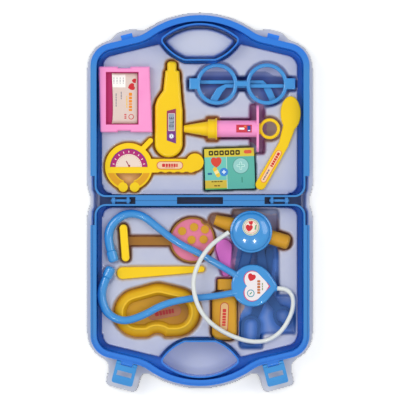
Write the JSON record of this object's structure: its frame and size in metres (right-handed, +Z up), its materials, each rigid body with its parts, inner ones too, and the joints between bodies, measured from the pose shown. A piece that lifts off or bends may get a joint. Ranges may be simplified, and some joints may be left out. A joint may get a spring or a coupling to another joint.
{
  "type": "toy doctor case",
  "caption": "Hinged toy doctor case lying open, with two latches and thermoformed trays that hold toy medical instruments",
  "frame": {"origin": "on the floor, in the middle of the hinge line", "axes": "+Z up, +Y towards the lid's handle, -Y towards the base's handle, +X to the right when the base is near the viewer"},
  "size_m": [0.252, 0.4241, 0.0355],
  "materials": {
    "case_blue": "blue moulding, satin gloss",
    "hinge_pin_plastic": "blue rod, satin gloss",
    "latch_blue": "light blue moulding, satin gloss",
    "clear_film": "clear thermoformed film",
    "tray_film": "pale grey-lilac thermoformed sheet, glossy",
    "pink_plastic": "pink moulding, satin gloss",
    "yellow_plastic": "yellow moulding, satin gloss",
    "amber_plastic": "translucent amber moulding",
    "blue_plastic": "blue moulding, satin gloss",
    "deep_blue_plastic": "deeper blue moulding, satin gloss",
    "white_soft": "white flexible tube, matte",
    "sticker": "printed paper sticker",
    "printed_card": "printed card, satin",
    "badge_paper": "printed paper card",
    "screen_grey": "printed grey display",
    "button_white": "printed white button"
  },
  "bodies": {
    "base": {"base_shell": "case_blue", "base_tray": "tray_film", "display_blister": "clear_film", "hinge_pin_left": "hinge_pin_plastic", "hinge_pin_right": "hinge_pin_plastic", "latch_pin_left": "hinge_pin_plastic", "latch_pin_right": "hinge_pin_plastic"},
    "lid": {"lid_shell": "case_blue", "lid_tray": "tray_film"},
    "latch_left": {"latch_left": "latch_blue"},
    "latch_right": {"latch_right": "latch_blue"},
    "badge": {"badge_holder": "pink_plastic", "badge_card": "badge_paper"},
    "thermometer": {"thermometer_body": "yellow_plastic", "thermometer_label": "sticker", "thermometer_screen": "screen_grey", "thermometer_button": "button_white"},
    "glasses": {"glasses_front": "blue_plastic", "temple_pin_left": "blue_plastic", "temple_pin_right": "blue_plastic"},
    "temple_left": {"temple_left": "blue_plastic"},
    "temple_right": {"temple_right": "blue_plastic"},
    "syringe": {"syringe_barrel": "pink_plastic", "syringe_nozzle": "yellow_plastic", "syringe_label": "sticker"},
    "plunger": {"plunger": "amber_plastic", "plunger_seal": "amber_plastic"},
    "spatula": {"spatula": "yellow_plastic", "spatula_label": "sticker"},
    "gauge": {"gauge_body": "yellow_plastic", "gauge_dial": "sticker", "gauge_label": "sticker"},
    "picture_box": {"picture_box": "printed_card"},
    "stethoscope": {"headset_tube_upper": "blue_plastic", "headset_tube_lower": "blue_plastic", "ear_tip_upper": "blue_plastic", "ear_tip_lower": "blue_plastic", "stethoscope_plate": "deep_blue_plastic", "heart_label": "sticker", "chest_piece": "blue_plastic", "chest_diaphragm": "deep_blue_plastic", "chest_label": "sticker", "hose": "white_soft"},
    "hammer": {"hammer_head": "amber_plastic", "hammer_grip": "blue_plastic"},
    "tee": {"tee_handle": "amber_plastic", "tee_face": "pink_plastic", "tee_dots": "yellow_plastic"},
    "spoon": {"spoon": "pink_plastic"},
    "depressor": {"tongue_depressor": "yellow_plastic"},
    "dish": {"kidney_dish": "amber_plastic", "dish_label": "sticker"},
    "bottle": {"bottle_body": "amber_plastic", "bottle_cap": "yellow_plastic", "bottle_label": "sticker"},
    "scissors": {"scissor_blade_a": "deep_blue_plastic", "scissor_pivot": "deep_blue_plastic"},
    "scissor_b": {"scissor_blade_b": "deep_blue_plastic"}
  },
  "joints": [
    {"name": "lid_hinge", "type": "hinge", "parent": "base", "child": "lid", "pos_m": [0, 0, 0.032], "axis": [-1, 0, 0], "range_deg": [-180, 0]},
    {"name": "latch_left_turn", "type": "hinge", "parent": "base", "child": "latch_left", "pos_m": [-0.0806, -0.1802, 0.029], "axis": [0.9681, -0.2504, 0], "range_deg": [-90, 0]},
    {"name": "latch_right_turn", "type": "hinge", "parent": "base", "child": "latch_right", "pos_m": [0.0806, -0.1802, 0.029], "axis": [0.9681, 0.2504, 0], "range_deg": [-90, 0]},
    {"name": "badge_lift", "type": "slide", "parent": "lid", "child": "badge", "axis": [0, 0, 1], "range_m": [0, 0.06]},
    {"name": "thermometer_lift", "type": "slide", "parent": "lid", "child": "thermometer", "axis": [0, 0, 1], "range_m": [0, 0.06]},
    {"name": "glasses_lift", "type": "slide", "parent": "lid", "child": "glasses", "axis": [0, 0, 1], "range_m": [0, 0.2]},
    {"name": "temple_left_fold", "type": "hinge", "parent": "glasses", "child": "temple_left", "pos_m": [-0.0075, 0.1291, 0.0067], "axis": [0, 1, 0], "range_deg": [0, 90]},
    {"name": "temple_right_fold", "type": "hinge", "parent": "glasses", "child": "temple_right", "pos_m": [0.101, 0.1291, 0.0111], "axis": [0, -1, 0], "range_deg": [0, 90]},
    {"name": "syringe_lift", "type": "slide", "parent": "lid", "child": "syringe", "axis": [0, 0, 1], "range_m": [0, 0.07]},
    {"name": "plunger_slide", "type": "slide", "parent": "syringe", "child": "plunger", "axis": [1, 0, 0], "range_m": [0, 0.035]},
    {"name": "spatula_lift", "type": "slide", "parent": "lid", "child": "spatula", "axis": [0, 0, 1], "range_m": [0, 0.06]},
    {"name": "gauge_lift", "type": "slide", "parent": "lid", "child": "gauge", "axis": [0, 0, 1], "range_m": [0, 0.06]},
    {"name": "picture_box_lift", "type": "slide", "parent": "lid", "child": "picture_box", "axis": [0, 0, 1], "range_m": [0, 0.06]},
    {"name": "stethoscope_lift", "type": "slide", "parent": "base", "child": "stethoscope", "axis": [0, 0, 1], "range_m": [0, 0.12]},
    {"name": "hammer_lift", "type": "slide", "parent": "base", "child": "hammer", "axis": [0, 0, 1], "range_m": [0, 0.06]},
    {"name": "tee_lift", "type": "slide", "parent": "base", "child": "tee", "axis": [0, 0, 1], "range_m": [0, 0.06]},
    {"name": "spoon_lift", "type": "slide", "parent": "base", "child": "spoon", "axis": [0, 0, 1], "range_m": [0, 0.06]},
    {"name": "depressor_lift", "type": "slide", "parent": "base", "child": "depressor", "axis": [0, 0, 1], "range_m": [0, 0.06]},
    {"name": "dish_lift", "type": "slide", "parent": "base", "child": "dish", "axis": [0, 0, 1], "range_m": [0, 0.06]},
    {"name": "bottle_lift", "type": "slide", "parent": "base", "child": "bottle", "axis": [0, 0, 1], "range_m": [0, 0.06]},
    {"name": "scissors_lift", "type": "slide", "parent": "base", "child": "scissors", "axis": [0, 0, 1], "range_m": [0, 0.06]},
    {"name": "scissor_turn", "type": "hinge", "parent": "scissors", "child": "scissor_b", "pos_m": [0.072, -0.1, 0.0085], "axis": [0, 0, 1], "range_deg": [-13, 0]}
  ],
  "couplings": [
    {"joint": "temple_left_fold", "follows": "glasses_lift", "rad_per_m": 7.85},
    {"joint": "temple_right_fold", "follows": "glasses_lift", "rad_per_m": 7.85},
    {"joint": "plunger_slide", "follows": "syringe_lift", "ratio": 0.5},
    {"joint": "hammer_lift", "follows": "stethoscope_lift", "ratio": 0.5},
    {"joint": "tee_lift", "follows": "stethoscope_lift", "ratio": 0.5},
    {"joint": "spoon_lift", "follows": "stethoscope_lift", "ratio": 0.5},
    {"joint": "depressor_lift", "follows": "stethoscope_lift", "ratio": 0.5},
    {"joint": "dish_lift", "follows": "stethoscope_lift", "ratio": 0.5},
    {"joint": "bottle_lift", "follows": "stethoscope_lift", "ratio": 0.5},
    {"joint": "scissors_lift", "follows": "stethoscope_lift", "ratio": 0.5}
  ]
}
